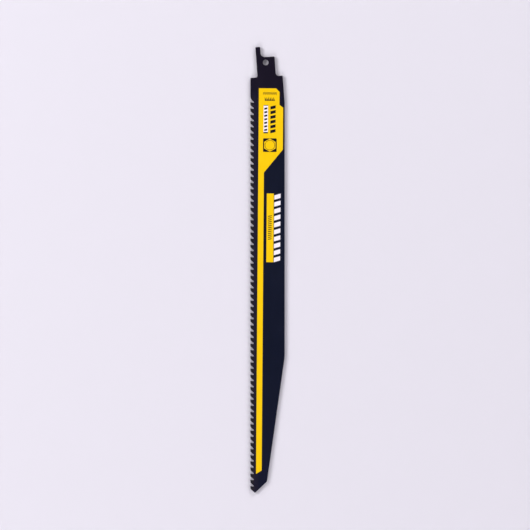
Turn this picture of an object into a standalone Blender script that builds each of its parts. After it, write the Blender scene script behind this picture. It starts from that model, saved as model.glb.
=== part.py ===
"""Reciprocating saw blade for demolition work, 305 mm long, with welded carbide teeth.

Metres, +Z up. The blade lies flat with its printed face up. +Y runs along it to the
shank, its teeth point to -X, and the origin is under the middle of its box.

Shapes are drawn in the blade's own frame and then placed: x is measured across the
blade from the line of the tooth points to the back edge, y along it from the nose to
the shank, and z up from the middle of the sheet. "Tooth 0" is the one at the nose.
"""
import math

import bmesh
import bpy
from mathutils import Matrix, Vector

MM = 0.001
INCH = 25.4 * MM

# Sheet
LENGTH = 305 * MM               # sharp nose to the end of the finger
WIDTH = 23.5 * MM               # tooth points to the straight back edge
THICKNESS = 1.27 * MM

# Nose and back
NOSE_CUT = math.radians(43.5)   # of the plunge nose, from straight across
NOSE_RADIUS = 0.5 * MM
TAPER_LENGTH = 92.9 * MM        # of the narrowing front part, from the nose
BACK_TAPER = math.radians(8.1)
BACK_BLEND = 30 * MM            # radius where the back edge turns
CORNER_RADIUS = 0.3 * MM

# Shank, which leans towards the teeth
SHANK_LEAN = math.radians(4.2)
SHANK_WIDTH = 12.6 * MM
HOLE_DIAMETER = 5 / 32 * INCH
HOLE_OFFSET = 1.2 * MM          # hole's centre from mid-width, towards the teeth
FINGER_WIDTH = 3.25 * MM
FINGER_REACH = 10.9 * MM        # end of the finger above the hole's centre
SHELF_REACH = 3.65 * MM         # end of the shank above the hole's centre
SHOULDER_DROP = 9.85 * MM       # shoulders below the hole's centre
SHOULDER_SETBACK = 1.36 * MM    # back shoulder's corner inside the straight back edge
FINGER_FILLET = 3.0 * MM
BACK_FILLET = 2.6 * MM
HEEL_FILLET = 1.25 * MM
SHANK_RADIUS = 0.5 * MM

# Tooth edge
TOOTH_PITCH = INCH / 6
NOSE_TO_TOOTH = 4.6 * MM        # sharp nose to the first rake face
HEEL_LENGTH = 16.7 * MM         # plain edge between the shoulder and the last rake face
HEEL_SETBACK = 0.1 * MM         # heel behind the tooth points
HEEL_RADIUS = 4.3 * MM
RAKE = math.radians(6)          # hook of the rake face
LAND_LENGTH = 1.85 * MM
LAND_RELIEF = math.radians(6)
TOOTH_BACK = math.radians(47)   # of the tooth's back, from the line of the points
GULLET_RADIUS = 0.48 * MM

# Carbide tips, a little proud of the steel all round
TIP_THICKNESS = 1.9 * MM
TIP_HEIGHT = 1.2 * MM           # tooth point to the seat
TIP_SIDE_RELIEF = math.radians(4)
TIP_BACK_RELIEF = math.radians(3)
TIP_PROUD = 0.05 * MM
WELD_DEPTH = 0.1 * MM           # how far a tip is sunk into its seat

# Print, measured from the yellow field's corner by the shank and the teeth
PRINT_TILT = math.radians(0.43)
PRINT_ACROSS = 5.9 * MM         # that corner from the tooth points
PRINT_BELOW_SHOULDER = 7.0 * MM
FIELD_MARGIN = 0.9 * MM         # wide field to the straight back edge
FIELD_CHAMFER = 2.4 * MM
FIELD_STEP_START = 11.2 * MM
FIELD_STEP_LENGTH = 2.0 * MM
FIELD_STEP_WIDTH = 2.55 * MM
WIDE_FIELD_LENGTH = 28.6 * MM
FIELD_RUNOUT = 15.8 * MM        # where the field narrows to the stripe
STRIPE_WIDTH = 3.85 * MM
STRIPE_TO_NOSE = 13.0 * MM
STRIPE_SLANT = 2.4 * MM
PANEL_GAP = 2.1 * MM            # between the stripe and the yellow panel
PANEL_AFTER_FIELD = 14.3 * MM
PANEL_LENGTH = 47.0 * MM
PANEL_SHARE = 0.5275            # of the panel, in its width and the white bars' together
BAR_GAP = 0.35 * MM             # between the yellow panel and the white bars
BAR_MARGIN = 2.2 * MM           # white bars to the straight back edge
BAR_COUNT = 10
BAR_LENGTH = 3.0 * MM
BAR_SLANT = 1.3 * MM
LABEL_START = 11.5 * MM         # black and white marks inside the field
LABEL_LENGTH = 19.3 * MM
LABEL_ACROSS = 3.35 * MM
LABEL_WIDTH = 3.0 * MM
MARK_GAP = 1.65 * MM            # between the white label and the black marks
MARK_WIDTH = 3.6 * MM
MARK_COUNT = 6
MARK_LENGTH = 2.1 * MM
MARK_SLANT = 0.9 * MM
SIGN_GAP = 3.4 * MM             # between the label and the black sign
SIGN_ACROSS = 3.15 * MM
SIGN_SIZE = 9.3 * MM
SIGN_RADIUS = 0.6 * MM
FILM = 0.03 * MM                # thickness of one layer of ink
PRINT_ROOT = 0.3 * MM           # how far a print solid reaches into the steel

ARC_STEP = math.radians(12)
SHARED_SIDE = 0.49              # most of a straight side that a fillet may take
OWN_SIDE = 0.98                 # and where the side's other end is sharp
SMOOTH_ANGLE = math.radians(30)


def clear_scene():
    for obj in list(bpy.data.objects):
        bpy.data.objects.remove(obj, do_unlink=True)


def make_material(name, colour, roughness, metallic=0.0):
    material = bpy.data.materials.new(name)
    material.use_nodes = True
    shader = material.node_tree.nodes["Principled BSDF"]
    shader.inputs["Base Color"].default_value = (*colour, 1.0)
    shader.inputs["Roughness"].default_value = roughness
    shader.inputs["Metallic"].default_value = metallic
    material.diffuse_color = (*colour, 1.0)
    return material


def crossing(start, direction, other_start, other_direction):
    """Where two lines in the plane meet."""
    between = other_start - start
    turn = direction.cross(other_direction)
    return start + direction * (between.cross(other_direction) / turn)


def fillet(before, corner, after, radius, room):
    """Points of the arc that rounds a corner. It takes no more of a side than room."""
    if radius <= 0:
        return [corner]
    back = (before - corner).normalized()
    ahead = (after - corner).normalized()
    half_angle = back.angle(ahead) / 2
    reach = min(radius / math.tan(half_angle), room)
    radius = reach * math.tan(half_angle)
    centre = corner + (back + ahead).normalized() * (radius / math.sin(half_angle))
    spoke = corner + back * reach - centre
    sweep = math.copysign(math.pi - 2 * half_angle, ahead.cross(back))
    steps = max(1, round(abs(sweep) / ARC_STEP))
    turns = [Matrix.Rotation(sweep * step / steps, 2) for step in range(steps + 1)]
    return [centre + turn @ spoke for turn in turns]


def room_beside(corner, neighbour, neighbour_radius):
    """How much of the side to a neighbour a fillet may take."""
    share = SHARED_SIDE if neighbour_radius > 0 else OWN_SIDE
    return share * (neighbour - corner).length


def rounded(corners):
    """A closed outline from (point, radius) corners."""
    points = []
    for index, (corner, radius) in enumerate(corners):
        before, radius_before = corners[index - 1]
        after, radius_after = corners[(index + 1) % len(corners)]
        room = min(
            room_beside(corner, before, radius_before),
            room_beside(corner, after, radius_after),
        )
        points += fillet(before, corner, after, radius, room)
    return points


# Shank

ALONG = Vector((0, 1))
ACROSS = Vector((1, 0))
LEANING = Matrix.Rotation(SHANK_LEAN, 2)
FINGER_SIDE = -SHANK_WIDTH / 2 + FINGER_WIDTH


def hole_centre():
    finger_end = LEANING @ Vector((FINGER_SIDE, FINGER_REACH))
    return Vector((WIDTH / 2 - HOLE_OFFSET, LENGTH - finger_end.y))


def on_shank(side, up):
    """A point given from the hole's centre, along the leaning shank."""
    return hole_centre() + LEANING @ Vector((side, up))


def shoulder_corner(across):
    """Where the line of the shoulders is this far from the tooth points."""
    shoulder = on_shank(0, -SHOULDER_DROP)
    return crossing(shoulder, LEANING @ ACROSS, Vector((across, 0)), ALONG)


def heel_shoulder():
    return shoulder_corner(HEEL_SETBACK)


def shank_corners():
    """From the back edge's lean, round the shank and its finger, to the heel."""
    half = SHANK_WIDTH / 2
    back_shoulder = shoulder_corner(WIDTH - SHOULDER_SETBACK)
    lean_start = crossing(back_shoulder, LEANING @ ALONG, Vector((WIDTH, 0)), ALONG)
    return [
        (lean_start, BACK_BLEND),
        (back_shoulder, CORNER_RADIUS),
        (on_shank(half, -SHOULDER_DROP), BACK_FILLET),
        (on_shank(half, SHELF_REACH), SHANK_RADIUS),
        (on_shank(FINGER_SIDE, SHELF_REACH), FINGER_FILLET),
        (on_shank(FINGER_SIDE, FINGER_REACH), SHANK_RADIUS),
        (on_shank(-half, FINGER_REACH), SHANK_RADIUS),
        (on_shank(-half, -SHOULDER_DROP), HEEL_FILLET),
        (heel_shoulder(), CORNER_RADIUS),
    ]


# Tooth edge

LAND_DROP = LAND_LENGTH * math.tan(LAND_RELIEF)
RAKE_LINE = Vector((math.cos(RAKE), -math.sin(RAKE)))
BACK_LINE = Vector((math.sin(TOOTH_BACK), -math.cos(TOOTH_BACK)))


def tooth_count():
    toothed = heel_shoulder().y - HEEL_LENGTH - NOSE_TO_TOOTH
    return round(toothed / TOOTH_PITCH) + 1


def tooth_point(tooth):
    return Vector((0, NOSE_TO_TOOTH + tooth * TOOTH_PITCH))


def land_end(tooth):
    return tooth_point(tooth) + Vector((LAND_DROP, -LAND_LENGTH))


def on_rake(tooth, depth):
    return tooth_point(tooth) + RAKE_LINE * (depth / RAKE_LINE.x)


def on_tooth_back(tooth, depth):
    return land_end(tooth) + BACK_LINE * ((depth - LAND_DROP) / BACK_LINE.x)


def steel_tooth_corners(tooth):
    """The gullet on the shank's side of a tooth, and the seat that carries its tip."""
    inset = Vector((0, TIP_PROUD))
    rake_start = tooth_point(tooth) - inset
    gullet = crossing(rake_start, RAKE_LINE, land_end(tooth + 1) + inset, BACK_LINE)
    return [
        (gullet, GULLET_RADIUS),
        (on_rake(tooth, TIP_HEIGHT) - inset, 0),
        (on_tooth_back(tooth, TIP_HEIGHT) + inset, 0),
    ]


def nose_corners():
    """The plunge nose and the tapered part of the back edge."""
    last_back = land_end(0) + Vector((0, TIP_PROUD))
    apex = crossing(last_back, BACK_LINE, Vector((0, 0)), ACROSS)
    cut = Vector((math.cos(NOSE_CUT), math.sin(NOSE_CUT)))
    taper_start = Vector((WIDTH, TAPER_LENGTH))
    taper = Vector((-math.sin(BACK_TAPER), -math.cos(BACK_TAPER)))
    return [
        (apex, NOSE_RADIUS),
        (crossing(apex, cut, taper_start, taper), CORNER_RADIUS),
        (taper_start, BACK_BLEND),
    ]


def blade_outline():
    """The steel's outline, counter-clockwise from the nose."""
    heel_end = Vector((HEEL_SETBACK, land_end(tooth_count()).y))
    corners = nose_corners() + shank_corners() + [(heel_end, HEEL_RADIUS)]
    for tooth in reversed(range(tooth_count())):
        corners += steel_tooth_corners(tooth)
    return rounded(corners)


def tip_half_thickness(depth, behind):
    relief = depth * math.tan(TIP_SIDE_RELIEF) + behind * math.tan(TIP_BACK_RELIEF)
    return TIP_THICKNESS / 2 - relief


def add_tip(bm, tooth):
    """One tip: rake face, land, sloping back and sides that draw in from its point."""
    base = TIP_HEIGHT + WELD_DEPTH
    point = tooth_point(tooth)
    outline = [
        point,
        land_end(tooth),
        on_tooth_back(tooth, base),
        on_rake(tooth, base),
    ]
    rings = []
    for side in (-1, 1):
        ring = []
        for corner in outline:
            half = tip_half_thickness(corner.x, point.y - corner.y)
            ring.append(bm.verts.new((corner.x, corner.y, side * half)))
        rings.append(ring)
    bridge(bm, rings[0], rings[1])


def bridge(bm, lower, upper):
    """A closed solid between two rings of points that run counter-clockwise."""
    bm.faces.new(list(reversed(lower)))
    bm.faces.new(upper)
    for index in range(len(lower)):
        after = (index + 1) % len(lower)
        bm.faces.new((lower[index], lower[after], upper[after], upper[index]))


# Print, in its own frame: x across it from the teeth's side, y down it to the nose

WIDE_FIELD_WIDTH = WIDTH - FIELD_MARGIN - PRINT_ACROSS
FIELD_WIDTH = WIDE_FIELD_WIDTH - FIELD_STEP_WIDTH
WIDE_FIELD_START = FIELD_STEP_START + FIELD_STEP_LENGTH
WIDE_FIELD_END = WIDE_FIELD_START + WIDE_FIELD_LENGTH
STRIPE_START = WIDE_FIELD_END + FIELD_RUNOUT
PANEL_START = STRIPE_START + PANEL_AFTER_FIELD
PANEL_ACROSS = STRIPE_WIDTH + PANEL_GAP
BARS_END = WIDTH - BAR_MARGIN - PRINT_ACROSS
PANEL_WIDTH = PANEL_SHARE * (BARS_END - PANEL_ACROSS - BAR_GAP)
BARS_ACROSS = PANEL_ACROSS + PANEL_WIDTH + BAR_GAP


def print_corner():
    return Vector((PRINT_ACROSS, heel_shoulder().y - PRINT_BELOW_SHOULDER))


def on_print(across, down):
    return print_corner() + Matrix.Rotation(-PRINT_TILT, 2) @ Vector((across, -down))


def printed(points):
    """An outline given clockwise on the print, as seen in the blade's frame."""
    outline = [on_print(across, down) for across, down in points]
    area = sum(a.cross(b) for a, b in zip(outline, outline[1:] + outline[:1]))
    return outline if area > 0 else outline[::-1]


def rectangle(across, down, width, length, slant=0.0):
    return printed([
        (across, down + slant),
        (across + width, down),
        (across + width, down + length),
        (across, down + length + slant),
    ])


def slanted_bars(across, down, width, length, count, bar_length, slant):
    """Equal bars that fill the length, the first and the last at its ends."""
    step = (length - slant - bar_length) / (count - 1)
    return [
        rectangle(across, down + index * step, width, bar_length, slant)
        for index in range(count)
    ]


def yellow_shapes():
    """The field by the shank, which runs out into the long stripe, and the panel."""
    stripe_end = print_corner().y - STRIPE_TO_NOSE
    field = printed([
        (0, 0),
        (FIELD_WIDTH - FIELD_CHAMFER, 0),
        (FIELD_WIDTH, FIELD_CHAMFER),
        (FIELD_WIDTH, FIELD_STEP_START),
        (WIDE_FIELD_WIDTH, WIDE_FIELD_START),
        (WIDE_FIELD_WIDTH, WIDE_FIELD_END),
        (STRIPE_WIDTH, STRIPE_START),
        (STRIPE_WIDTH, stripe_end - STRIPE_SLANT),
        (0, stripe_end),
    ])
    panel = rectangle(PANEL_ACROSS, PANEL_START, PANEL_WIDTH, PANEL_LENGTH)
    return [field, panel]


def white_shapes():
    bars = slanted_bars(
        BARS_ACROSS,
        PANEL_START,
        BARS_END - BARS_ACROSS,
        PANEL_LENGTH,
        BAR_COUNT,
        BAR_LENGTH,
        BAR_SLANT,
    )
    label = rectangle(LABEL_ACROSS, LABEL_START, LABEL_WIDTH, LABEL_LENGTH)
    return [*bars, label]


def black_shapes():
    marks = slanted_bars(
        LABEL_ACROSS + LABEL_WIDTH + MARK_GAP,
        LABEL_START,
        MARK_WIDTH,
        LABEL_LENGTH,
        MARK_COUNT,
        MARK_LENGTH,
        MARK_SLANT,
    )
    sign_start = LABEL_START + LABEL_LENGTH + SIGN_GAP
    square = rectangle(SIGN_ACROSS, sign_start, SIGN_SIZE, SIGN_SIZE)
    return [*marks, rounded([(corner, SIGN_RADIUS) for corner in square])]


# Solids


def new_object(name, bm, material):
    mesh = bpy.data.meshes.new(name)
    bm.to_mesh(mesh)
    bm.free()
    mesh.materials.append(material)
    obj = bpy.data.objects.new(name, mesh)
    bpy.context.collection.objects.link(obj)
    return obj


def extruded(name, outlines, low, high, material):
    """One prism for each outline, from low to high."""
    bm = bmesh.new()
    for outline in outlines:
        lower = [bm.verts.new((point.x, point.y, low)) for point in outline]
        upper = [bm.verts.new((point.x, point.y, high)) for point in outline]
        bridge(bm, lower, upper)
    return new_object(name, bm, material)


def as_helper(obj, blade):
    obj.parent = blade
    obj.hide_render = True
    obj.display_type = "WIRE"


def combine(blade, helper, operation):
    as_helper(helper, blade)
    boolean = blade.modifiers.new(helper.name, "BOOLEAN")
    boolean.operation = operation
    boolean.object = helper
    boolean.solver = "EXACT"
    boolean.material_mode = "TRANSFER"


def make_pin_hole(blade, material):
    bm = bmesh.new()
    centre = hole_centre()
    bmesh.ops.create_cone(
        bm,
        cap_ends=True,
        segments=round(2 * math.pi / ARC_STEP),
        radius1=HOLE_DIAMETER / 2,
        radius2=HOLE_DIAMETER / 2,
        depth=2 * THICKNESS,
        matrix=Matrix.Translation((centre.x, centre.y, 0)),
    )
    combine(blade, new_object("pin_hole", bm, material), "DIFFERENCE")


def make_tips(blade, material):
    bm = bmesh.new()
    for tooth in range(tooth_count()):
        add_tip(bm, tooth)
    combine(blade, new_object("carbide_tips", bm, material), "UNION")


def make_print(blade, name, outlines, layers, material):
    top = THICKNESS / 2
    ink = extruded(name, outlines, top - PRINT_ROOT, top + layers * FILM, material)
    combine(blade, ink, "UNION")


def make_blade():
    coated_steel = make_material("coated steel", (0.0095, 0.0103, 0.022), 0.42)
    carbide = make_material("ground carbide", (0.028, 0.026, 0.035), 0.38, 0.5)
    yellow_ink = make_material("yellow ink", (0.96, 0.60, 0.004), 0.4)
    white_ink = make_material("white ink", (0.93, 0.90, 0.95), 0.4)
    black_ink = make_material("black ink", (0.010, 0.010, 0.016), 0.4)

    outline = blade_outline()
    blade = extruded("blade", [outline], -THICKNESS / 2, THICKNESS / 2, coated_steel)
    make_pin_hole(blade, coated_steel)
    make_tips(blade, carbide)
    make_print(blade, "yellow_print", yellow_shapes(), 1, yellow_ink)
    make_print(blade, "white_print", white_shapes(), 2, white_ink)
    make_print(blade, "black_print", black_shapes(), 2, black_ink)

    blade.data.shade_smooth()
    blade.data.set_sharp_from_angle(angle=SMOOTH_ANGLE)
    lowest = min(point.y for point in outline)
    highest = max(point.y for point in outline)
    blade.location = (-WIDTH / 2, -(lowest + highest) / 2, TIP_THICKNESS / 2)


clear_scene()
make_blade()
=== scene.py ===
"""Looks of a long reciprocating saw blade for demolition work, with welded carbide teeth.

The blade lies flat with its printed face up, its teeth towards -X and its shank towards +Y.
Shapes are drawn in the blade's own frame and then placed: x runs across the blade from the
line of the tooth points, y along it from the sharp nose, and z up from the middle of the
sheet. Tooth 0 is the one at the nose.
"""
import math
import random

import bmesh
import bpy
from mathutils import Matrix, Vector


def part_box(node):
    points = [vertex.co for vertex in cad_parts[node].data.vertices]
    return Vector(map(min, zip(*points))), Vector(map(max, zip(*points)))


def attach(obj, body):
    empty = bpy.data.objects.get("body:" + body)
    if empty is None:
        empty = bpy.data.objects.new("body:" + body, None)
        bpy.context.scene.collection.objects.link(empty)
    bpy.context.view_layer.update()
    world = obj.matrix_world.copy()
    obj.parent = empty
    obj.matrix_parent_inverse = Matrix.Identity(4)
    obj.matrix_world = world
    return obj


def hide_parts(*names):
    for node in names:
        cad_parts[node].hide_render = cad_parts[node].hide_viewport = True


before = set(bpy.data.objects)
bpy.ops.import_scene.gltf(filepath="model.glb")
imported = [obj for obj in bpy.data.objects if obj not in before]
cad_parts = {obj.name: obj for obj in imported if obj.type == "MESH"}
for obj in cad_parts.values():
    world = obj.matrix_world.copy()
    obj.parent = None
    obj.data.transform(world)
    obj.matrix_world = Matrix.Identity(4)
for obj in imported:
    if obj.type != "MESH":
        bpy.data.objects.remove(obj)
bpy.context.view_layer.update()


# Steel body
# One strip of spring steel, blanked with a gullet for each tooth, a leaning shank and a pin
# hole. Tumbling has rounded its edges, the welding has tinted the steel along the teeth, and
# a thin black coat covers all of it, through which the rolling marks still show.

MM = 0.001
INCH = 25.4 * MM
LOW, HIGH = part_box("blade")

LENGTH = 305 * MM               # sharp nose to the end of the finger
WIDTH = HIGH.x - LOW.x          # tooth points to the straight back edge
THICKNESS = 1.27 * MM
EDGE_ROUND = 0.07 * MM

NOSE_CUT = math.radians(43.5)   # of the plunge nose, from straight across
NOSE_RADIUS = 0.5 * MM
TAPER_LENGTH = 92.9 * MM        # of the narrowing front part, from the nose
BACK_TAPER = math.radians(8.1)
BACK_BLEND = 30 * MM            # radius where the back edge turns
CORNER_RADIUS = 0.3 * MM

SHANK_LEAN = math.radians(4.2)
SHANK_WIDTH = 12.6 * MM
HOLE_DIAMETER = 5 / 32 * INCH
HOLE_OFFSET = 1.2 * MM          # hole's centre from mid-width, towards the teeth
HOLE_CHAMFER = 0.06 * MM
FINGER_WIDTH = 3.25 * MM
FINGER_REACH = 10.9 * MM        # end of the finger above the hole's centre
SHELF_REACH = 3.65 * MM         # end of the shank above the hole's centre
SHOULDER_DROP = 9.85 * MM       # shoulders below the hole's centre
SHOULDER_SETBACK = 1.36 * MM    # back shoulder's corner inside the straight back edge
FINGER_FILLET = 3.0 * MM
BACK_FILLET = 2.6 * MM
HEEL_FILLET = 1.25 * MM
SHANK_RADIUS = 0.5 * MM

TOOTH_PITCH = INCH / 6
NOSE_TO_TOOTH = 4.6 * MM        # sharp nose to the first rake face
HEEL_LENGTH = 16.7 * MM         # plain edge between the shoulder and the last rake face
HEEL_SETBACK = 0.1 * MM         # heel behind the tooth points
HEEL_RADIUS = 4.3 * MM
RAKE = math.radians(6)          # hook of the rake face
LAND_LENGTH = 1.85 * MM
LAND_RELIEF = math.radians(6)
TOOTH_BACK = math.radians(47)   # of the tooth's back, from the line of the points
GULLET_RADIUS = 0.48 * MM
TIP_HEIGHT = 1.2 * MM           # tooth point to the seat
TIP_PROUD = 0.05 * MM           # of the tip beyond the steel before and behind it

ARC_STEP = math.radians(6)
SHARED_SIDE = 0.49              # most of a straight side that an arc may take
OWN_SIDE = 0.98                 # and where the corners on both sides are sharp

ALONG = Vector((0, 1))
ACROSS = Vector((1, 0))
LEANING = Matrix.Rotation(SHANK_LEAN, 2)
LAND_DROP = LAND_LENGTH * math.tan(LAND_RELIEF)
FINGER_SIDE = -SHANK_WIDTH / 2 + FINGER_WIDTH
RAKE_LINE = Vector((math.cos(RAKE), -math.sin(RAKE)))
BACK_LINE = Vector((math.sin(TOOTH_BACK), -math.cos(TOOTH_BACK)))
FINGER_END = LEANING @ Vector((FINGER_SIDE, FINGER_REACH))
HOLE = Vector((WIDTH / 2 - HOLE_OFFSET, LENGTH - FINGER_END.y))


def crossing(start, direction, other_start, other_direction):
    """Where two lines in the plane meet."""
    between = other_start - start
    turn = direction.cross(other_direction)
    return start + direction * (between.cross(other_direction) / turn)


def rounded(corners):
    """A closed outline from (point, radius) corners, its round corners as arcs."""
    points = []
    for index, (corner, radius) in enumerate(corners):
        before, radius_before = corners[index - 1]
        after, radius_after = corners[(index + 1) % len(corners)]
        if radius <= 0:
            points.append(corner)
            continue
        back = before - corner
        ahead = after - corner
        half_angle = back.angle(ahead) / 2
        share = SHARED_SIDE if max(radius_before, radius_after) > 0 else OWN_SIDE
        reach = min(radius / math.tan(half_angle), share * min(back.length, ahead.length))
        radius = reach * math.tan(half_angle)
        middle = (back.normalized() + ahead.normalized()).normalized()
        centre = corner + middle * (radius / math.sin(half_angle))
        spoke = corner + back.normalized() * reach - centre
        sweep = math.copysign(math.pi - 2 * half_angle, ahead.cross(back))
        steps = max(2, round(abs(sweep) / ARC_STEP))
        turns = [Matrix.Rotation(sweep * step / steps, 2) for step in range(steps + 1)]
        points += [centre + turn @ spoke for turn in turns]
    return points


def on_shank(side, up):
    """A point given from the hole's centre, along the leaning shank."""
    return HOLE + LEANING @ Vector((side, up))


def on_shoulder(across):
    """Where the line of the shoulders is this far from the tooth points."""
    return crossing(on_shank(0, -SHOULDER_DROP), LEANING @ ACROSS, Vector((across, 0)), ALONG)


def tooth_point(tooth):
    """The cutting point, where the rake face meets the land."""
    return Vector((0, NOSE_TO_TOOTH + tooth * TOOTH_PITCH))


def land_end(tooth):
    """Where the land turns into the tooth's back."""
    return tooth_point(tooth) + Vector((LAND_DROP, -LAND_LENGTH))


def on_rake(tooth, depth):
    """The rake face's line, this far in from the line of the points."""
    return tooth_point(tooth) + RAKE_LINE * (depth / RAKE_LINE.x)


def on_tooth_back(tooth, depth):
    """The back's line, this far in from the line of the points."""
    return land_end(tooth) + BACK_LINE * ((depth - LAND_DROP) / BACK_LINE.x)


def seat_middle(tooth):
    """The middle of the seat that the tip stands on."""
    return (on_rake(tooth, TIP_HEIGHT) + on_tooth_back(tooth, TIP_HEIGHT)).to_3d() / 2


HEEL = on_shoulder(HEEL_SETBACK)
TOOTH_COUNT = round((HEEL.y - HEEL_LENGTH - NOSE_TO_TOOTH) / TOOTH_PITCH) + 1
inset = Vector((0, TIP_PROUD))  # of the steel, behind the tip's front and back

last_back = land_end(0) + inset
apex = crossing(last_back, BACK_LINE, Vector((0, 0)), ACROSS)
nose_cut = Vector((math.cos(NOSE_CUT), math.sin(NOSE_CUT)))
taper_start = Vector((WIDTH, TAPER_LENGTH))
taper = Vector((-math.sin(BACK_TAPER), -math.cos(BACK_TAPER)))
back_shoulder = on_shoulder(WIDTH - SHOULDER_SETBACK)
half_shank = SHANK_WIDTH / 2

# Once round the blank: the nose, the back edge, the back shoulder, the shank, the notch, the
# finger, the heel, and then the teeth one by one.
corners = [
    (apex, NOSE_RADIUS),
    (crossing(apex, nose_cut, taper_start, taper), CORNER_RADIUS),
    (taper_start, BACK_BLEND),
    (crossing(back_shoulder, LEANING @ ALONG, Vector((WIDTH, 0)), ALONG), BACK_BLEND),
    (back_shoulder, CORNER_RADIUS),
    (on_shank(half_shank, -SHOULDER_DROP), BACK_FILLET),
    (on_shank(half_shank, SHELF_REACH), SHANK_RADIUS),
    (on_shank(FINGER_SIDE, SHELF_REACH), FINGER_FILLET),
    (on_shank(FINGER_SIDE, FINGER_REACH), SHANK_RADIUS),
    (on_shank(-half_shank, FINGER_REACH), SHANK_RADIUS),
    (on_shank(-half_shank, -SHOULDER_DROP), HEEL_FILLET),
    (HEEL, CORNER_RADIUS),
    (Vector((HEEL_SETBACK, land_end(TOOTH_COUNT).y)), HEEL_RADIUS),
]
for tooth in reversed(range(TOOTH_COUNT)):
    rake_start = tooth_point(tooth) - inset
    gullet = crossing(rake_start, RAKE_LINE, land_end(tooth + 1) + inset, BACK_LINE)
    corners += [
        (gullet, GULLET_RADIUS),
        (on_rake(tooth, TIP_HEIGHT) - inset, 0),
        (on_tooth_back(tooth, TIP_HEIGHT) + inset, 0),
    ]
outline = rounded(corners)

# The drawing is placed so that the blade fills the box that the frame gives it.
ends = [point.y for point in outline]
mid_length = (min(ends) + max(ends)) / 2
PLACE = Vector((LOW.x, (LOW.y + HIGH.y) / 2 - mid_length, (LOW.z + HIGH.z) / 2))


def moved_in(points, distance):
    """The outline moved inwards by this distance, with mitred corners."""
    moved = []
    for index, point in enumerate(points):
        before = (point - points[index - 1]).normalized()
        after = (points[(index + 1) % len(points)] - point).normalized()
        inward = Vector((-before.y - after.y, before.x + after.x))
        moved.append(point + inward * (2 * distance / inward.length_squared))
    return moved


def add_layers(bm, rings):
    """A closed solid through these rings of points, from the lowest to the highest."""
    loops = [[bm.verts.new(point) for point in ring] for ring in rings]
    bm.faces.new(reversed(loops[0]))
    bm.faces.new(loops[-1])
    for lower, upper in zip(loops, loops[1:]):
        for index in range(len(lower)):
            after = (index + 1) % len(lower)
            bm.faces.new((lower[index], lower[after], upper[after], upper[index]))


def at_height(points, height):
    return [Vector((point.x, point.y, height)) for point in points]


def placed(name, bm):
    """An object of this mesh, in its place on the blade."""
    mesh = bpy.data.meshes.new(name)
    bm.to_mesh(mesh)
    bm.free()
    made = bpy.data.objects.new(name, mesh)
    made.location = PLACE
    bpy.context.scene.collection.objects.link(made)
    return made


def finished(name, bm, material, smooth=True):
    """A piece of this mesh and material. Smooth shading keeps its flat faces flat."""
    piece = placed(name, bm)
    piece.data.materials.append(material)
    if smooth:
        piece.data.shade_smooth()
        piece.modifiers.new("flat faces stay flat", "WEIGHTED_NORMAL")
    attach(piece, "root")
    return piece


def new_node(tree, kind, inputs=(), **settings):
    """A shader node with its settings, and inputs that are values or other nodes' outputs."""
    made = tree.nodes.new("ShaderNode" + kind)
    for name, value in settings.items():
        setattr(made, name, value)
    for name, value in dict(inputs).items():
        if isinstance(value, bpy.types.NodeSocket):
            tree.links.new(value, made.inputs[name])
        else:
            made.inputs[name].default_value = value
    return made


def computed(tree, operation, *values):
    """The result of a Math node on these values."""
    return new_node(tree, "Math", dict(enumerate(values)), operation=operation).outputs[0]


def computed_vector(tree, operation, *vectors):
    """The result of a Vector Math node on these vectors."""
    return new_node(tree, "VectorMath", dict(enumerate(vectors)), operation=operation).outputs[0]


def ranged(tree, value, low_in, high_in, low_out=0.0, high_out=1.0, how="LINEAR"):
    """A value carried from one range to another."""
    inputs = {
        "Value": value,
        "From Min": low_in,
        "From Max": high_in,
        "To Min": low_out,
        "To Max": high_out,
    }
    return new_node(tree, "MapRange", inputs, interpolation_type=how).outputs[0]


def noise(tree, size, detail):
    """Noise in the blade's own frame, with grains of this size."""
    place = new_node(tree, "TexCoord").outputs["Object"]
    scaled = computed_vector(tree, "DIVIDE", place, size)
    inputs = {"Vector": scaled, "Scale": 1.0, "Detail": detail}
    return new_node(tree, "TexNoise", inputs).outputs["Fac"]


def new_group(name, kind, control, output):
    """A shader group with one input of this kind and one value as its output."""
    group = bpy.data.node_groups.new(name, "ShaderNodeTree")
    group.interface.new_socket(control, in_out="INPUT", socket_type="NodeSocket" + kind)
    group.interface.new_socket(output, in_out="OUTPUT", socket_type="NodeSocketFloat")
    given = group.nodes.new("NodeGroupInput").outputs[control]
    return group, given, group.nodes.new("NodeGroupOutput").inputs[output]


STREAK_RANGE = (0.3, 0.7)       # of the noise, spread from 0 to 1
PATCH_RANGE = (0.35, 0.65)
LEAST_WEAR_AND_HIGHLIGHT = 0.15

# Marks drawn out in one direction, such as those of rolling, grinding and squeegees.
STREAKS, spacing, result = new_group("streaks", "Vector", "Spacing", "Marks")
drawn = noise(STREAKS, spacing, detail=3.0)
STREAKS.links.new(ranged(STREAKS, drawn, *STREAK_RANGE), result)

# The fine, soft unevenness of a sprayed or printed skin.
SKIN, size, result = new_group("skin", "Float", "Size", "Height")
SKIN.links.new(noise(SKIN, size, detail=2.0), result)

# Lighter places on the faces that are marked as edges: partly a thin or worn finish, partly a
# painted highlight.
EDGES, size, result = new_group("edges", "Float", "Size", "Wear_and_highlight")
marked = new_node(EDGES, "Attribute", attribute_name="edge").outputs["Fac"]
wear_and_highlight_patches = ranged(EDGES, noise(EDGES, size, detail=3.0), *PATCH_RANGE, LEAST_WEAR_AND_HIGHLIGHT, 1.0)
EDGES.links.new(computed(EDGES, "MULTIPLY", wear_and_highlight_patches, marked), result)

# Broad, faint patches where the shine differs, as on anything that has been handled.
SMUDGES, size, result = new_group("smudges", "Float", "Size", "Mask")
patches = noise(SMUDGES, size, detail=4.0)
SMUDGES.links.new(ranged(SMUDGES, patches, *PATCH_RANGE), result)


def grouped(tree, group, **values):
    """A group placed in a tree with its own values."""
    return new_node(tree, "Group", values, node_tree=group).outputs[0]


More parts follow.
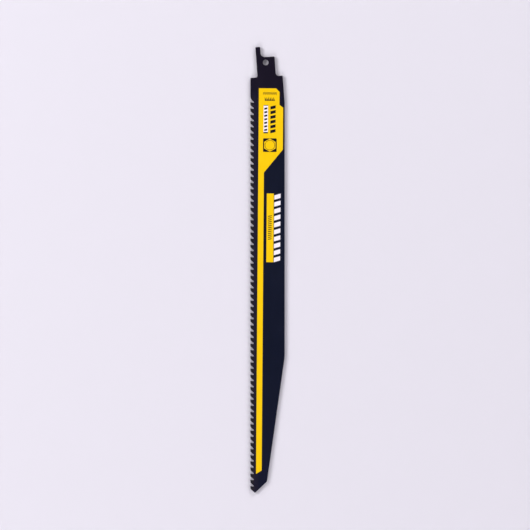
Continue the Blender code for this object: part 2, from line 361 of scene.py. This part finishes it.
def blended(tree, amount, first, second, how="MIX"):
    """A colour between two others, by an amount that is a value or an output."""
    # A colour Mix node takes its colours at 6 and 7, and gives the result at 2.
    inputs = {0: amount, 6: first, 7: second}
    return new_node(tree, "Mix", inputs, data_type="RGBA", blend_type=how).outputs[2]


def summed(tree, *terms, base=0.0):
    """A base value with the sum of (output, weight) pairs added."""
    total = base
    for output, weight in terms:
        total = computed(tree, "MULTIPLY_ADD", output, weight, total)
    return total


def ramp(tree, value, stops):
    """The colour at this value between (value, colour) stops."""
    first = stops[0][0]
    last = stops[-1][0]
    made = new_node(tree, "ValToRGB", {0: ranged(tree, value, first, last)})
    elements = made.color_ramp.elements
    while len(elements) < len(stops):
        elements.new(0.5)       # moved to its own place below
    for element, (position, colour) in zip(elements, stops):
        element.position = (position - first) / (last - first)
        element.color = colour
    return made.outputs[0]


def new_material(name, **constants):
    """A material with its constants set on the shader's own sockets."""
    material = bpy.data.materials.new(name)
    material.use_nodes = True
    shader = material.node_tree.nodes["Principled BSDF"]
    for socket, value in constants.items():
        shader.inputs[socket.replace("_", " ")].default_value = value
    return material, material.node_tree, shader


def dress(tree, shader, colour, roughness, height, depth):
    """Links a colour, a roughness and the height of a bump of this depth to a shader."""
    bump = new_node(tree, "Bump", {"Height": height, "Distance": depth, "Strength": 1.0})
    tree.links.new(colour, shader.inputs["Base Color"])
    tree.links.new(roughness, shader.inputs["Roughness"])
    tree.links.new(bump.outputs[0], shader.inputs["Normal"])


COAT_BLADE = (0.0030, 0.0052, 0.0180, 1)
COAT_SHANK = (0.0066, 0.0040, 0.0130, 1)
COAT_NOSE = (0.0045, 0.0056, 0.0205, 1)
COAT_TEETH = (0.0098, 0.0080, 0.0205, 1)
COAT_EDGE_WEAR_AND_HIGHLIGHT = (0.030, 0.029, 0.036, 1)
SHANK_FADE = 30 * MM
HEATED_TO = 4.6 * MM            # of the tinted strip, from the tooth points
TINT_FADE = 1.6 * MM
TEMPER_COLOURS = (              # by the distance from the middle of a seat
    (1.0 * MM, (0.013, 0.011, 0.017, 1)),
    (1.6 * MM, (0.018, 0.013, 0.016, 1)),
    (2.1 * MM, (0.015, 0.009, 0.022, 1)),
    (2.7 * MM, (0.0080, 0.0090, 0.027, 1)),
    (3.4 * MM, COAT_TEETH),
)
TEMPER_PATCH = 1.7 * MM
TEMPER_WANDER = 0.9 * MM        # of the rings, from patch to patch
TEMPER_STRENGTH = 0.9
ROLLING_SPACING = Vector((0.16, 24, 0.16)) * MM
ROLLING_SHADE = (0.88, 1.12)    # times the colour, between and on the marks
ROLLING_SHARE = 0.3             # of the coat's relief
COAT_PEEL = 0.35 * MM
COAT_SMUDGE = 26 * MM
COAT_WEAR_AND_HIGHLIGHT_PATCH = 1.5 * MM
COAT_DEPTH = 0.006 * MM         # of its relief
COAT_ROUGHNESS = 0.27
ROLLING_ROUGHNESS = 0.07        # what this and the next two add at most
HANDLED_ROUGHNESS = 0.06
PEEL_ROUGHNESS = 0.04

coat, tree, shader = new_material("black coat", Specular_IOR_Level=0.3, Metallic=0.0)
where = new_node(tree, "TexCoord").outputs["Object"]
spot = new_node(tree, "SeparateXYZ", {0: where}).outputs
rolling = grouped(tree, STREAKS, Spacing=ROLLING_SPACING)
peel = grouped(tree, SKIN, Size=COAT_PEEL)
handled = grouped(tree, SMUDGES, Size=COAT_SMUDGE)

# The coat's tone differs a little at the nose, at the shank and in a strip along the teeth.
to_blade = ranged(tree, spot["Y"], 0, TAPER_LENGTH, how="SMOOTHSTEP")
front = blended(tree, to_blade, COAT_NOSE, COAT_BLADE)
to_shank = ranged(tree, spot["Y"], HEEL.y - SHANK_FADE, HEEL.y, how="SMOOTHSTEP")
plain = blended(tree, to_shank, front, COAT_SHANK)
from_teeth = ranged(tree, spot["X"], HEATED_TO, HEATED_TO + TINT_FADE, 1, 0, "SMOOTHSTEP")
below_heel = ranged(tree, spot["Y"], HEEL.y - HEEL_LENGTH, HEEL.y - HEEL_LENGTH / 2, 1, 0)
heated = computed(tree, "MULTIPLY", from_teeth, below_heel)
strip = blended(tree, heated, plain, COAT_TEETH)

# Temper colours lie round each seat. Wrapping y by the pitch finds the nearest one.
reach = Vector((1, TOOTH_PITCH / 2, 1))
from_seat = computed_vector(tree, "SUBTRACT", where, seat_middle(0))
wrapped = computed_vector(tree, "WRAP", from_seat, reach, -reach)
flat = computed_vector(tree, "MULTIPLY", wrapped, (1, 1, 0))
away = new_node(tree, "VectorMath", {0: flat}, operation="LENGTH").outputs["Value"]
uneven = grouped(tree, SMUDGES, Size=TEMPER_PATCH)
away = summed(tree, (away, 1.0), (uneven, TEMPER_WANDER))
temper = ramp(tree, away, TEMPER_COLOURS)
near = ranged(tree, away, TEMPER_COLOURS[-2][0], TEMPER_COLOURS[-1][0], TEMPER_STRENGTH, 0)
tinted = blended(tree, computed(tree, "MULTIPLY", heated, near), strip, temper)

shaded = blended(tree, 1.0, tinted, ranged(tree, rolling, 0, 1, *ROLLING_SHADE), "MULTIPLY")
# The rounded edges are lighter: partly a thinner, worn coat, partly a painted highlight.
coloured = blended(tree, grouped(tree, EDGES, Size=COAT_WEAR_AND_HIGHLIGHT_PATCH), shaded, COAT_EDGE_WEAR_AND_HIGHLIGHT)
roughness = summed(
    tree,
    (rolling, ROLLING_ROUGHNESS),
    (handled, HANDLED_ROUGHNESS),
    (peel, PEEL_ROUGHNESS),
    base=COAT_ROUGHNESS,
)
height = summed(tree, (peel, 1 - ROLLING_SHARE), (rolling, ROLLING_SHARE))
dress(tree, shader, coloured, roughness, height, COAT_DEPTH)

RIM_STEPS = 3
CUT_SNAP = 0.0001 * MM          # a cut nearer to a point than this goes through it
WALL_Z = 0.1                    # a face's normal rises less than this on a side wall,
FLAT_Z = 0.9                    # and more than this on a flat; rounded edges lie between
rim = [math.pi / 2 * step / RIM_STEPS for step in range(RIM_STEPS + 1)]
rings = [
    at_height(
        moved_in(outline, EDGE_ROUND * (1 - math.sin(angle))),
        side * (THICKNESS / 2 - EDGE_ROUND * (1 - math.cos(angle))),
    )
    for side, angles in ((-1, rim), (1, reversed(rim)))
    for angle in angles
]
bm = bmesh.new()
add_layers(bm, rings)
# Cuts across at the pitch keep each flat a small face. Those past the end do nothing.
for tooth in range(math.ceil(LENGTH / TOOTH_PITCH)):
    everything = bm.verts[:] + bm.edges[:] + bm.faces[:]
    bmesh.ops.bisect_plane(
        bm, geom=everything, dist=CUT_SNAP, plane_co=seat_middle(tooth), plane_no=(0, 1, 0)
    )
blank = placed("blank", bm)

HOLE_SIDES = 72
CUT_PAST = 0.5 * MM             # of the hole's cutter, beyond each face
half = THICKNESS / 2
flare = HOLE_CHAMFER + CUT_PAST
cutter_bm = bmesh.new()
cutter_rings = [
    [
        Vector((
            HOLE.x + radius * math.cos(2 * math.pi * side / HOLE_SIDES),
            HOLE.y + radius * math.sin(2 * math.pi * side / HOLE_SIDES),
            level,
        ))
        for side in range(HOLE_SIDES)
    ]
    for level, radius in (
        (-half - CUT_PAST, HOLE_DIAMETER / 2 + flare),
        (-half + HOLE_CHAMFER, HOLE_DIAMETER / 2),
        (half - HOLE_CHAMFER, HOLE_DIAMETER / 2),
        (half + CUT_PAST, HOLE_DIAMETER / 2 + flare),
    )
]
add_layers(cutter_bm, cutter_rings)
cutter = placed("pin_hole_cutter", cutter_bm)
cut = blank.modifiers.new("pin hole", "BOOLEAN")
cut.operation = "DIFFERENCE"
cut.solver = "EXACT"
cut.object = cutter
drilled = blank.evaluated_get(bpy.context.evaluated_depsgraph_get())
bm = bmesh.new()
bm.from_mesh(drilled.to_mesh())
bpy.data.objects.remove(cutter)
bpy.data.objects.remove(blank)
bm.normal_update()
edge = bm.faces.layers.float.new("edge")
for face in bm.faces:
    face[edge] = WALL_Z < abs(face.normal.z) < FLAT_Z
body = finished("blade_body", bm, coat)
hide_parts("blade")


# Carbide teeth
# Sixty-three blocks of sintered carbide. Each is butt welded to its seat and then ground on
# the rake face, the land, the back and both sides, so it stays a little wider than the steel.

TIP_THICKNESS = HIGH.z - LOW.z
TIP_SIDE_RELIEF = math.radians(4)
TIP_BACK_RELIEF = math.radians(3)
WELD_DEPTH = 0.1 * MM           # how far a tip is sunk into its seat
TIP_EDGE = 0.025 * MM
GRINDING_SPACING = Vector((0.05, 0.9, 0.05)) * MM
CARBIDE_PATCH = 1.1 * MM
CARBIDE_WEAR_AND_HIGHLIGHT_PATCH = 0.4 * MM
CARBIDE_DEPTH = 0.003 * MM
CARBIDE_ROUGHNESS = (0.30, 0.48)
CARBIDE_DARK = (0.0105, 0.0100, 0.0165, 1)
CARBIDE_LIGHT = (0.032, 0.030, 0.042, 1)
CARBIDE_EDGE_WEAR_AND_HIGHLIGHT = (0.10, 0.097, 0.117, 1)
LOT_SHARE = 0.35                # of the tone: each tooth's own,
GROUND_SHARE = 0.3              # and the grinding marks'; patches give the rest

carbide, tree, shader = new_material("ground carbide", Specular_IOR_Level=0.5, Metallic=0.35)
where = new_node(tree, "TexCoord").outputs["Object"]
spot = new_node(tree, "SeparateXYZ", {0: where}).outputs
along = computed(tree, "SUBTRACT", spot["Y"], tooth_point(0).y + WELD_DEPTH)
number = computed(tree, "CEIL", computed(tree, "DIVIDE", along, TOOTH_PITCH))
lot = new_node(tree, "TexWhiteNoise", {"W": number}, noise_dimensions="1D").outputs["Value"]
ground = grouped(tree, STREAKS, Spacing=GRINDING_SPACING)
handled = grouped(tree, SMUDGES, Size=CARBIDE_PATCH)
patch_share = 1 - LOT_SHARE - GROUND_SHARE
tone = summed(tree, (lot, LOT_SHARE), (ground, GROUND_SHARE), (handled, patch_share))
shaded = blended(tree, tone, CARBIDE_DARK, CARBIDE_LIGHT)
# The ground edges are lighter: partly wear, partly a painted highlight.
coloured = blended(tree, grouped(tree, EDGES, Size=CARBIDE_WEAR_AND_HIGHLIGHT_PATCH), shaded, CARBIDE_EDGE_WEAR_AND_HIGHLIGHT)
roughness = ranged(tree, ground, 0, 1, *CARBIDE_ROUGHNESS)
dress(tree, shader, coloured, roughness, ground, CARBIDE_DEPTH)

bm = bmesh.new()
base = TIP_HEIGHT + WELD_DEPTH
for tooth in range(TOOTH_COUNT):
    point = tooth_point(tooth)
    profile = [point, land_end(tooth), on_tooth_back(tooth, base), on_rake(tooth, base)]
    rings = []
    for side in (-1, 1):
        ring = []
        for corner in profile:
            relief = corner.x * math.tan(TIP_SIDE_RELIEF)
            relief += (point.y - corner.y) * math.tan(TIP_BACK_RELIEF)
            ring.append(Vector((corner.x, corner.y, side * (TIP_THICKNESS / 2 - relief))))
        rings.append(ring)
    add_layers(bm, rings)
edge = bm.faces.layers.float.new("edge")
rounding = bmesh.ops.bevel(
    bm, geom=bm.edges[:], offset=TIP_EDGE, segments=2, affect="EDGES", profile=0.5
)
for face in rounding["faces"]:
    face[edge] = 1
finished("carbide_teeth", bm, carbide)


# Weld seams
# The flash that each weld has pressed out round the foot of its tooth: a low, lumpy ring of
# steel that is blued by the heat and only partly hidden by the coat.

BEAD_RADIUS = 0.11 * MM
BEAD_SIDES = 8
BEAD_POINTS = 44
BEAD_LUMPS = 11
BEAD_SWELL = (0.65, 1.2)        # of the lumps, times the bead's radius
BEAD_SEED = 7
WELD_PATCH = 0.8 * MM
WELD_GRAIN = 0.12 * MM
WELD_GRAIN_DEPTH = 0.01 * MM
WELD_ROUGHNESS = (0.35, 0.6)
WELD_BLUE = (0.010, 0.011, 0.030, 1)
WELD_BRONZE = (0.045, 0.030, 0.026, 1)

weld, tree, shader = new_material("weld flash", Specular_IOR_Level=0.5, Metallic=0.45)
handled = grouped(tree, SMUDGES, Size=WELD_PATCH)
grains = grouped(tree, SKIN, Size=WELD_GRAIN)
coloured = blended(tree, handled, WELD_BLUE, WELD_BRONZE)
roughness = ranged(tree, grains, 0, 1, *WELD_ROUGHNESS)
dress(tree, shader, coloured, roughness, grains, WELD_GRAIN_DEPTH)


def bead_section(foot, side, radius):
    """A ring of points round the foot, in the plane of x and of this outward direction."""
    turns = [2 * math.pi * turn / BEAD_SIDES for turn in range(BEAD_SIDES)]
    across = Vector((1, 0, 0))
    return [foot + (side * math.cos(turn) + across * math.sin(turn)) * radius for turn in turns]


random.seed(BEAD_SEED)
bm = bmesh.new()
for tooth in range(TOOTH_COUNT):
    front_y = on_rake(tooth, TIP_HEIGHT).y - TIP_PROUD
    back_y = on_tooth_back(tooth, TIP_HEIGHT).y + TIP_PROUD
    centre = Vector((TIP_HEIGHT, (front_y + back_y) / 2, 0))
    half_length = (front_y - back_y) / 2
    half_width = THICKNESS / 2
    swell = [random.uniform(*BEAD_SWELL) for lump in range(BEAD_LUMPS)]
    rings = []
    for index in range(BEAD_POINTS):
        angle = 2 * math.pi * index / BEAD_POINTS
        side = Vector((0, math.cos(angle), math.sin(angle)))
        # From the seat's middle to its rim, in this direction.
        reach = 1 / max(abs(side.y) / half_length, abs(side.z) / half_width)
        place_on_ring = index * BEAD_LUMPS / BEAD_POINTS
        lump = int(place_on_ring)
        part = place_on_ring - lump
        size = swell[lump] * (1 - part) + swell[(lump + 1) % BEAD_LUMPS] * part
        rings.append(bead_section(centre + side * reach, side, BEAD_RADIUS * size))
    loops = [[bm.verts.new(corner) for corner in ring] for ring in rings]
    for index, loop in enumerate(loops):
        following = loops[(index + 1) % BEAD_POINTS]
        for turn in range(BEAD_SIDES):
            after = (turn + 1) % BEAD_SIDES
            bm.faces.new((loop[turn], following[turn], following[after], loop[after]))
bmesh.ops.recalc_face_normals(bm, faces=bm.faces[:])
finished("weld_seams", bm, weld)


# Yellow print
# The first ink of three, screen printed on the coat and baked: a field by the shank that runs
# out into a long stripe beside the teeth, and a panel in the middle of the blade.

PRINT_TILT = math.radians(0.43)  # of the whole print, clockwise
PRINT_ACROSS = 5.9 * MM         # field's corner from the tooth points
PRINT_BELOW_SHOULDER = 7.0 * MM
FIELD_MARGIN = 0.9 * MM         # wide field to the straight back edge
FIELD_CHAMFER = 2.4 * MM
FIELD_STEP_START = 11.2 * MM
FIELD_STEP_LENGTH = 2.0 * MM
FIELD_STEP_WIDTH = 2.55 * MM
WIDE_FIELD_LENGTH = 28.6 * MM
FIELD_RUNOUT = 15.8 * MM        # where the field narrows to the stripe
STRIPE_WIDTH = 3.85 * MM
STRIPE_TO_NOSE = 13.0 * MM
STRIPE_SLANT = 2.4 * MM
PANEL_GAP = 2.1 * MM            # between the stripe and the yellow panel
PANEL_AFTER_FIELD = 14.3 * MM
PANEL_LENGTH = 47.0 * MM
PANEL_SHARE = 0.5275            # of the panel, in its width and the white bars' together
BAR_GAP = 0.35 * MM             # between the yellow panel and the white bars
BAR_MARGIN = 2.2 * MM           # white bars to the straight back edge
YELLOW_TOP = 0.02 * MM          # of the film, above the coat
INK_CORNER = 0.15 * MM
INK_SUNK = 0.01 * MM            # keeps the film closed against the coat
INK_SLOPE = 0.015 * MM

WIDE_FIELD_WIDTH = WIDTH - FIELD_MARGIN - PRINT_ACROSS
FIELD_WIDTH = WIDE_FIELD_WIDTH - FIELD_STEP_WIDTH
WIDE_FIELD_START = FIELD_STEP_START + FIELD_STEP_LENGTH
WIDE_FIELD_END = WIDE_FIELD_START + WIDE_FIELD_LENGTH
STRIPE_START = WIDE_FIELD_END + FIELD_RUNOUT
PANEL_START = STRIPE_START + PANEL_AFTER_FIELD
PANEL_ACROSS = STRIPE_WIDTH + PANEL_GAP
BARS_END = WIDTH - BAR_MARGIN - PRINT_ACROSS
PANEL_WIDTH = PANEL_SHARE * (BARS_END - PANEL_ACROSS - BAR_GAP)
BARS_ACROSS = PANEL_ACROSS + PANEL_WIDTH + BAR_GAP
PRINT_CORNER = Vector((PRINT_ACROSS, HEEL.y - PRINT_BELOW_SHOULDER))
PRINT_TURN = Matrix.Rotation(-PRINT_TILT, 2)


def printed(shape, corner_radius=INK_CORNER):
    """An outline given clockwise as (across, down) from the field's corner."""
    points = [PRINT_CORNER + PRINT_TURN @ Vector((across, -down)) for across, down in shape]
    return rounded([(point, corner_radius) for point in reversed(points)])


def slanted_bar(across, down, width, length, slant=0.0, corner_radius=INK_CORNER):
    """A bar whose ends slant: they lie this much further down on the teeth's side."""
    return printed(
        [
            (across, down + slant),
            (across + width, down),
            (across + width, down + length),
            (across, down + length + slant),
        ],
        corner_radius,
    )


def ink_film(name, outlines, top, material):
    """A film of ink over each outline, its top this far above the coat."""
    bm = bmesh.new()
    for points in outlines:
        lower = at_height(points, THICKNESS / 2 - INK_SUNK)
        upper = at_height(moved_in(points, INK_SLOPE), THICKNESS / 2 + top)
        add_layers(bm, [lower, upper])
    return finished(name, bm, material, smooth=False)


SQUEEGEE_SPACING = Vector((0.5, 40, 0.5)) * MM
SCREEN_WEAVE = 0.18 * MM
INK_SMUDGE = 9 * MM
INK_DEPTH = 0.003 * MM
WIPED_SHARE = 0.5               # of the change between thin and thick ink
SMUDGE_ROUGHNESS = 0.08
WEAVE_ROUGHNESS = 0.05
WIPED_ROUGHNESS = 0.04


def new_ink(name, thin, thick, least_roughness):
    """Ink that shows the squeegee's faint streaks and the screen's fine weave."""
    ink, tree, shader = new_material(name, Specular_IOR_Level=0.25, Metallic=0.0)
    wiped = grouped(tree, STREAKS, Spacing=SQUEEGEE_SPACING)
    weave = grouped(tree, SKIN, Size=SCREEN_WEAVE)
    handled = grouped(tree, SMUDGES, Size=INK_SMUDGE)
    amount = summed(tree, (wiped, WIPED_SHARE), (handled, 1 - WIPED_SHARE))
    coloured = blended(tree, amount, thin, thick)
    roughness = summed(
        tree,
        (handled, SMUDGE_ROUGHNESS),
        (weave, WEAVE_ROUGHNESS),
        (wiped, WIPED_ROUGHNESS),
        base=least_roughness,
    )
    dress(tree, shader, coloured, roughness, weave, INK_DEPTH)
    return ink


YELLOW_THIN = (0.930, 0.570, 0.0005, 1)
YELLOW_THICK = (0.975, 0.620, 0.0005, 1)
YELLOW_ROUGHNESS = 0.36
yellow = new_ink("yellow ink", YELLOW_THIN, YELLOW_THICK, YELLOW_ROUGHNESS)

stripe_end = PRINT_CORNER.y - STRIPE_TO_NOSE
field = printed([
    (0, 0),
    (FIELD_WIDTH - FIELD_CHAMFER, 0),
    (FIELD_WIDTH, FIELD_CHAMFER),
    (FIELD_WIDTH, FIELD_STEP_START),
    (WIDE_FIELD_WIDTH, WIDE_FIELD_START),
    (WIDE_FIELD_WIDTH, WIDE_FIELD_END),
    (STRIPE_WIDTH, STRIPE_START),
    (STRIPE_WIDTH, stripe_end - STRIPE_SLANT),
    (0, stripe_end),
])
ink_film("yellow_field_and_stripe", [field], YELLOW_TOP, yellow)
panel = slanted_bar(PANEL_ACROSS, PANEL_START, PANEL_WIDTH, PANEL_LENGTH)
ink_film("yellow_panel", [panel], YELLOW_TOP, yellow)


# White print
# The second ink, screen printed and baked after the yellow: ten slanted bars on the coat
# beside the panel, and a label that lies on the yellow field.

BAR_COUNT = 10
BAR_LENGTH = 3.0 * MM
BAR_SLANT = 1.3 * MM
LABEL_START = 11.5 * MM
LABEL_LENGTH = 19.3 * MM
LABEL_ACROSS = 3.35 * MM
LABEL_WIDTH = 3.0 * MM
WHITE_TOP = 0.035 * MM
WHITE_THIN = (0.900, 0.840, 0.920, 1)
WHITE_THICK = (0.960, 0.900, 0.975, 1)
WHITE_ROUGHNESS = 0.38
white = new_ink("white ink", WHITE_THIN, WHITE_THICK, WHITE_ROUGHNESS)


def bar_starts(start, length, count, bar_length, slant):
    """Where each bar starts, if the first and the last lie at the ends of the length."""
    step = (length - slant - bar_length) / (count - 1)
    return [start + index * step for index in range(count)]


bars = [
    slanted_bar(BARS_ACROSS, down, BARS_END - BARS_ACROSS, BAR_LENGTH, BAR_SLANT)
    for down in bar_starts(PANEL_START, PANEL_LENGTH, BAR_COUNT, BAR_LENGTH, BAR_SLANT)
]
ink_film("white_bars", bars, WHITE_TOP, white)
label = slanted_bar(LABEL_ACROSS, LABEL_START, LABEL_WIDTH, LABEL_LENGTH)
ink_film("white_label", [label], WHITE_TOP, white)


# Black print
# The last ink, printed over the other two. In the yellow field it makes a fine rule, a small
# tooth for each tooth per inch, slots in the white label, six slanted marks beside it and a
# square sign, and in the panel a row of short strokes.

MARK_GAP = 1.65 * MM
MARK_WIDTH = 3.6 * MM
MARK_COUNT = 6
MARK_LENGTH = 2.1 * MM
MARK_SLANT = 0.9 * MM
BLACK_TOP = 0.035 * MM
FINE_CORNER = 0.04 * MM
BLACK_THIN = (0.0035, 0.0035, 0.0080, 1)
BLACK_THICK = (0.0050, 0.0045, 0.0100, 1)
BLACK_ROUGHNESS = 0.36
black = new_ink("black ink", BLACK_THIN, BLACK_THICK, BLACK_ROUGHNESS)

mark_across = LABEL_ACROSS + LABEL_WIDTH + MARK_GAP
marks = [
    slanted_bar(mark_across, down, MARK_WIDTH, MARK_LENGTH, MARK_SLANT)
    for down in bar_starts(LABEL_START, LABEL_LENGTH, MARK_COUNT, MARK_LENGTH, MARK_SLANT)
]
ink_film("black_marks", marks, BLACK_TOP, black)

RULE_ACROSS = 2.9 * MM
RULE_DOWN = 2.6 * MM
RULE_STEP = 0.5 * MM
RULE_COUNT = 19
RULE_LINE = 0.26 * MM
RULE_SHORT = 1.6 * MM
RULE_LONG = 2.0 * MM
RULE_LONG_EVERY = 3
rule = [
    slanted_bar(
        RULE_ACROSS + index * RULE_STEP,
        RULE_DOWN,
        RULE_LINE,
        RULE_SHORT if index % RULE_LONG_EVERY else RULE_LONG,
        corner_radius=FINE_CORNER,
    )
    for index in range(RULE_COUNT)
]
ink_film("fine_rule", rule, BLACK_TOP, black)

TOOTH_SIGN_ACROSS = 4.1 * MM
TOOTH_SIGN_TOP = 5.8 * MM
TOOTH_SIGN_STEP = 1.17 * MM
TOOTH_SIGN_HEIGHT = 2.75 * MM
TOOTH_SIGN_WIDTH = 1.14 * MM
TOOTH_SIGN_COUNT = 6
TOOTH_SIGN_FOOT = TOOTH_SIGN_TOP + TOOTH_SIGN_HEIGHT


def small_tooth(across):
    """A tooth with an upright rake face and a sloping back."""
    point = (across, TOOTH_SIGN_TOP)
    heel = (across + TOOTH_SIGN_WIDTH, TOOTH_SIGN_FOOT)
    return printed([point, heel, (across, TOOTH_SIGN_FOOT)], FINE_CORNER)


small_teeth = [
    small_tooth(TOOTH_SIGN_ACROSS + index * TOOTH_SIGN_STEP)
    for index in range(TOOTH_SIGN_COUNT)
]
ink_film("small_teeth", small_teeth, BLACK_TOP, black)

SLOT_WIDTH = 2.1 * MM
SLOT_LENGTH = 1.25 * MM
SLOT_SLANT = 0.45 * MM
SLOT_COUNT = 7
SLOT_MARGIN = 1.5 * MM
SLOT_TOP = 0.048 * MM           # over the white label
THIN_CAP = 0.4 * MM
THICK_CAP = 0.9 * MM
slot_across = LABEL_ACROSS + (LABEL_WIDTH - SLOT_WIDTH) / 2
slots_start = LABEL_START + SLOT_MARGIN
slots_length = LABEL_LENGTH - 2 * SLOT_MARGIN
slots = [
    slanted_bar(slot_across, down, SLOT_WIDTH, SLOT_LENGTH, SLOT_SLANT, FINE_CORNER)
    for down in bar_starts(slots_start, slots_length, SLOT_COUNT, SLOT_LENGTH, SLOT_SLANT)
]
caps = [
    slanted_bar(LABEL_ACROSS, down, LABEL_WIDTH, length, corner_radius=FINE_CORNER)
    for down, length in (
        (LABEL_START, THIN_CAP),
        (LABEL_START + LABEL_LENGTH - THICK_CAP, THICK_CAP),
    )
]
ink_film("label_slots", slots + caps, SLOT_TOP, black)

SIGN_GAP = 3.4 * MM             # between the label and the sign
SIGN_ACROSS = 3.15 * MM
SIGN_SIZE = 9.3 * MM
SIGN_RADIUS = 0.6 * MM
SIGN_START = LABEL_START + LABEL_LENGTH + SIGN_GAP
sign = slanted_bar(SIGN_ACROSS, SIGN_START, SIGN_SIZE, SIGN_SIZE, corner_radius=SIGN_RADIUS)
ink_film("black_sign", [sign], BLACK_TOP, black)

STROKE_INDENT = 1.0 * MM        # panel's edge to the strokes
STROKE_WIDTH = 2.5 * MM
STROKE_LENGTH = 0.58 * MM
STROKE_SLANT = 0.5 * MM
STROKE_COUNT = 13
STROKES_AFTER = 14.9 * MM       # panel's start to the first stroke
STROKES_LENGTH = 16.8 * MM
stroke_across = PANEL_ACROSS + STROKE_INDENT
strokes_start = PANEL_START + STROKES_AFTER
strokes = [
    slanted_bar(stroke_across, down, STROKE_WIDTH, STROKE_LENGTH, STROKE_SLANT, FINE_CORNER)
    for down in bar_starts(
        strokes_start, STROKES_LENGTH, STROKE_COUNT, STROKE_LENGTH, STROKE_SLANT
    )
]
ink_film("panel_strokes", strokes, BLACK_TOP, black)


# Bolt head in the sign
# A plain hexagon head, seen from above, that shows yellow in the black square. Its inks
# lie over each other: the head, the line of its round chamfer, and the face inside it.

HEXAGON_RADIUS = 4.5 * MM
HEXAGON_SIDES = 6
HEXAGON_TURN = math.pi / 6      # turns two of its corners to lie along the blade
CHAMFER_RADIUS = 3.45 * MM
CHAMFER_LINE = 0.3 * MM
ROUND_SIDES = 72
HEAD_TOP = 0.042 * MM
CHAMFER_TOP = 0.048 * MM
FACE_TOP = 0.054 * MM
head_middle = Vector((SIGN_ACROSS + SIGN_SIZE / 2, SIGN_START + SIGN_SIZE / 2))


def round_sign(radius, sides, first_turn=0.0):
    turns = [first_turn + 2 * math.pi * side / sides for side in range(sides)]
    spokes = [Vector((math.cos(turn), math.sin(turn))) * radius for turn in turns]
    return printed([head_middle + spoke for spoke in spokes], 0)


hexagon = round_sign(HEXAGON_RADIUS, HEXAGON_SIDES, HEXAGON_TURN)
ink_film("bolt_head", [hexagon], HEAD_TOP, yellow)
chamfer = round_sign(CHAMFER_RADIUS, ROUND_SIDES)
ink_film("bolt_chamfer", [chamfer], CHAMFER_TOP, black)
inside = round_sign(CHAMFER_RADIUS - CHAMFER_LINE, ROUND_SIDES)
ink_film("bolt_face", [inside], FACE_TOP, yellow)


# Bench
# A pale, matt sweep of paper that the blade lies on. It bends up into a wall all round, so
# it has no edge in any view.

FLOOR_RADIUS = 2.6              # in metres, as are the next two
SWEEP_RADIUS = 1.2
WALL_HEIGHT = 3.2
SWEEP_STEPS = 16
ROUND_STEPS = 96
SEAM_SNAP = 0.01 * MM
PAPER_COLOUR = (0.775, 0.747, 0.815, 1)

profile = [(0.0, 0.0), (FLOOR_RADIUS, 0.0)]
for step in range(1, SWEEP_STEPS + 1):
    angle = math.pi / 2 * step / SWEEP_STEPS
    profile.append((
        FLOOR_RADIUS + SWEEP_RADIUS * math.sin(angle),
        SWEEP_RADIUS * (1 - math.cos(angle)),
    ))
profile.append((FLOOR_RADIUS + SWEEP_RADIUS, WALL_HEIGHT))
bm = bmesh.new()
line = [bm.verts.new((radius, 0, height)) for radius, height in profile]
edges = [bm.edges.new(pair) for pair in zip(line, line[1:])]
bmesh.ops.spin(
    bm,
    geom=line + edges,
    cent=(0, 0, 0),
    axis=(0, 0, 1),
    angle=2 * math.pi,
    steps=ROUND_STEPS,
    use_merge=True,
)
bmesh.ops.remove_doubles(bm, verts=bm.verts[:], dist=SEAM_SNAP)
bmesh.ops.recalc_face_normals(bm, faces=bm.faces[:])
floor_mesh = bpy.data.meshes.new("bench")
bm.to_mesh(floor_mesh)
bm.free()
floor_mesh.shade_smooth()
floor = bpy.data.objects.new("bench", floor_mesh)
bpy.context.scene.collection.objects.link(floor)

paper, tree, shader = new_material(
    "pale paper", Base_Color=PAPER_COLOUR, Specular_IOR_Level=0.1, Roughness=0.9
)
floor_mesh.materials.append(paper)


# Light
# Four soft round lights stand low about the blade, between the directions that one looks
# from, in a dim room. So the black coat stays black from above, and shines a little from
# the side.

LIGHT_SIZE = 1.0
LIGHTS = (                      # each with its place and its power in watts
    ("key", Vector((-1.87, 0.77, 1.15)), 40.0),
    ("fill", Vector((1.87, -0.77, 1.15)), 15.0),
    ("back", Vector((0.81, 1.97, 1.0)), 26.0),
    ("front", Vector((-0.81, -1.97, 1.0)), 26.0),
)
ROOM_COLOUR = (1.0, 0.97, 1.03, 1)
ROOM_STRENGTH = 0.1

for name, position, power in LIGHTS:
    light_data = bpy.data.lights.new(name, "AREA")
    light_data.shape = "DISK"
    light_data.size = LIGHT_SIZE
    light_data.energy = power
    light = bpy.data.objects.new(name, light_data)
    light.location = position
    light.rotation_euler = (-position).to_track_quat("-Z", "Y").to_euler()
    light.visible_camera = False
    bpy.context.scene.collection.objects.link(light)

world = bpy.data.worlds.new("room")
world.use_nodes = True
background = world.node_tree.nodes["Background"]
background.inputs["Color"].default_value = ROOM_COLOUR
background.inputs["Strength"].default_value = ROOM_STRENGTH
bpy.context.scene.world = world
bpy.context.scene.view_settings.view_transform = "Standard"


# Camera
# It looks straight down through a long lens, as in the photograph, where the blade's middle
# lies at the pixel (MIDDLE_X, MIDDLE_Y), counted from the upper left corner.

PICTURE = 530                   # side of the photograph, in pixels
PIXEL = 0.6843 * MM             # of the photograph, at the blade
MIDDLE_X = 267.45
MIDDLE_Y = 269.78
LENS = 200.0                    # in millimetres, as is the sensor
SENSOR = 36.0

camera_data = bpy.data.cameras.new("camera")
camera_data.lens = LENS
camera_data.sensor_width = SENSOR
camera = bpy.data.objects.new("camera", camera_data)
bpy.context.scene.collection.objects.link(camera)
distance = PICTURE * PIXEL * LENS / SENSOR
camera.location = (
    (PICTURE / 2 - MIDDLE_X) * PIXEL,
    (MIDDLE_Y - PICTURE / 2) * PIXEL,
    distance,
)
bpy.context.scene.camera = camera
